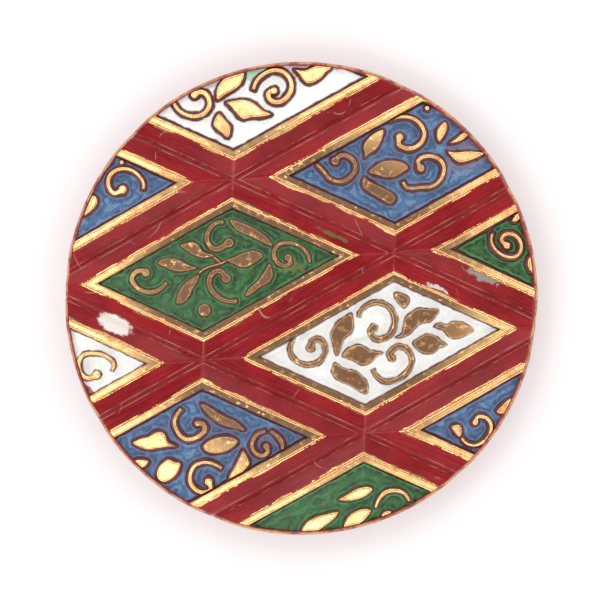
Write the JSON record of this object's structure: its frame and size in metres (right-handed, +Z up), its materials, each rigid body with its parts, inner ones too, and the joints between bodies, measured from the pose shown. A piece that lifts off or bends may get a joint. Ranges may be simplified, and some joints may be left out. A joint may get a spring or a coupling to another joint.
{
  "type": "ink stick",
  "caption": "Round pressed ink cake for grinding on an ink stone: domed face of grooved red bands and lozenge panels with coloured grounds, gilt borders and gilt scrollwork in relief.",
  "frame": {"origin": "centre of the flat back, in the plane it rests on", "axes": "+Z up through the face, +Y towards the top of the pattern, +X to the right of the pattern"},
  "size_m": [0.042, 0.042, 0.0086],
  "materials": {
    "ink": "matte pressed soot ink",
    "lacquer": "satin red lacquer, hand rubbed",
    "rim_gilt": "worn gilding, rubbed to the red",
    "green_pigment": "satin green pigment",
    "white_pigment": "chalky white pigment",
    "blue_pigment": "matte blue pigment",
    "border_gilt": "brushed gilding on a moulded fillet",
    "scroll_gilt": "gilding on moulded scrolls, browned on top"
  },
  "bodies": {
    "root": {"ink_core": "ink", "lacquer_coat": "lacquer", "rim_gilding": "rim_gilt", "green_centre_field": "green_pigment", "green_centre_border": "border_gilt", "green_centre_scrollwork": "scroll_gilt", "white_centre_field": "white_pigment", "white_centre_border": "border_gilt", "white_centre_scrollwork": "scroll_gilt", "blue_upper_field": "blue_pigment", "blue_upper_border": "border_gilt", "blue_upper_scrollwork": "scroll_gilt", "blue_lower_field": "blue_pigment", "blue_lower_border": "border_gilt", "blue_lower_scrollwork": "scroll_gilt", "white_upper_field": "white_pigment", "white_upper_border": "border_gilt", "white_upper_scrollwork": "scroll_gilt", "blue_left_field": "blue_pigment", "blue_left_border": "border_gilt", "blue_left_scrollwork": "scroll_gilt", "green_right_field": "green_pigment", "green_right_border": "border_gilt", "green_right_scrollwork": "scroll_gilt", "white_left_field": "white_pigment", "white_left_border": "border_gilt", "white_left_scrollwork": "scroll_gilt", "blue_right_field": "blue_pigment", "blue_right_border": "border_gilt", "blue_right_scrollwork": "scroll_gilt", "green_lower_field": "green_pigment", "green_lower_border": "border_gilt", "green_lower_scrollwork": "scroll_gilt"}
  },
  "joints": []
}
